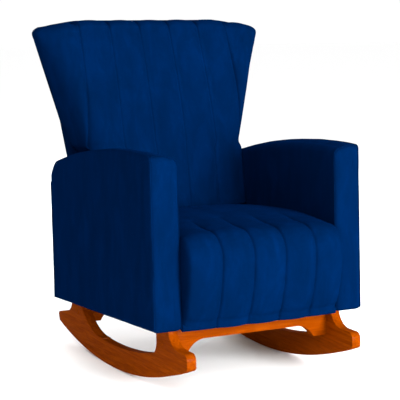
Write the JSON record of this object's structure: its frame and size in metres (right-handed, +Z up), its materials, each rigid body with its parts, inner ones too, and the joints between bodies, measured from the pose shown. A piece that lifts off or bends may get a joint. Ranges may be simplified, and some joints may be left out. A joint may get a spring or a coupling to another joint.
{
  "type": "upholstered rocking chair",
  "caption": "Upholstered nursery rocking chair with a fan-shaped channelled back, padded arms and a waterfall seat on two curved wooden rockers joined by stretchers.",
  "frame": {"origin": "point on the floor midway between the two rockers, where their arcs touch it at rest", "axes": "+Z up, the chair faces -Y, +X to the sitter's left"},
  "size_m": [0.784, 0.9045, 1.0261],
  "materials": {
    "stained_wood": "honey-stained solid wood under satin lacquer",
    "frame_timber": "planed softwood, bare",
    "plywood": "sawn plywood, bare",
    "hardboard": "pressed board, smooth face",
    "velvet": "short-pile navy blue velvet",
    "foam": "cut polyurethane foam",
    "felt": "pressed fibre pad",
    "webbing": "woven jute strap",
    "black_cloth": "non-woven dust cloth",
    "zinc_steel": "zinc-plated steel"
  },
  "bodies": {
    "root": {"rocker_left": "stained_wood", "rocker_right": "stained_wood", "front_stretcher": "stained_wood", "rear_stretcher": "stained_wood", "stretcher_bolts": "zinc_steel", "barrel_nuts": "zinc_steel", "bolt_plugs": "stained_wood", "hanger_bolts": "zinc_steel", "threaded_inserts": "zinc_steel", "seat_front_rail": "frame_timber", "seat_rear_rail": "frame_timber", "seat_side_rail_left": "frame_timber", "seat_side_rail_right": "frame_timber", "corner_blocks": "frame_timber", "seat_spring_1": "zinc_steel", "seat_spring_2": "zinc_steel", "seat_spring_3": "zinc_steel", "seat_spring_4": "zinc_steel", "seat_spring_5": "zinc_steel", "spring_clips": "zinc_steel", "spring_tie_wires": "zinc_steel", "spring_pad": "felt", "seat_foam": "foam", "seat_cover": "velvet", "dust_cover": "black_cloth", "arm_front_post_left": "frame_timber", "arm_front_post_right": "frame_timber", "arm_rear_post_left": "frame_timber", "arm_rear_post_right": "frame_timber", "arm_top_rail_left": "frame_timber", "arm_top_rail_right": "frame_timber", "arm_bolts": "zinc_steel", "arm_padding_left": "foam", "arm_padding_right": "foam", "arm_cover_left": "velvet", "arm_cover_right": "velvet", "arm_front_panel_left": "velvet", "arm_front_panel_right": "velvet", "side_board_left": "hardboard", "side_board_right": "hardboard", "side_panel_left": "velvet", "side_panel_right": "velvet", "back_post_left": "frame_timber", "back_post_right": "frame_timber", "back_top_rail": "frame_timber", "back_lumbar_rail": "frame_timber", "wing_board_left": "plywood", "wing_board_right": "plywood", "back_bolts": "zinc_steel", "back_webbing": "webbing", "back_foam": "foam", "back_cover": "velvet", "back_panel": "velvet"}
  },
  "joints": []
}
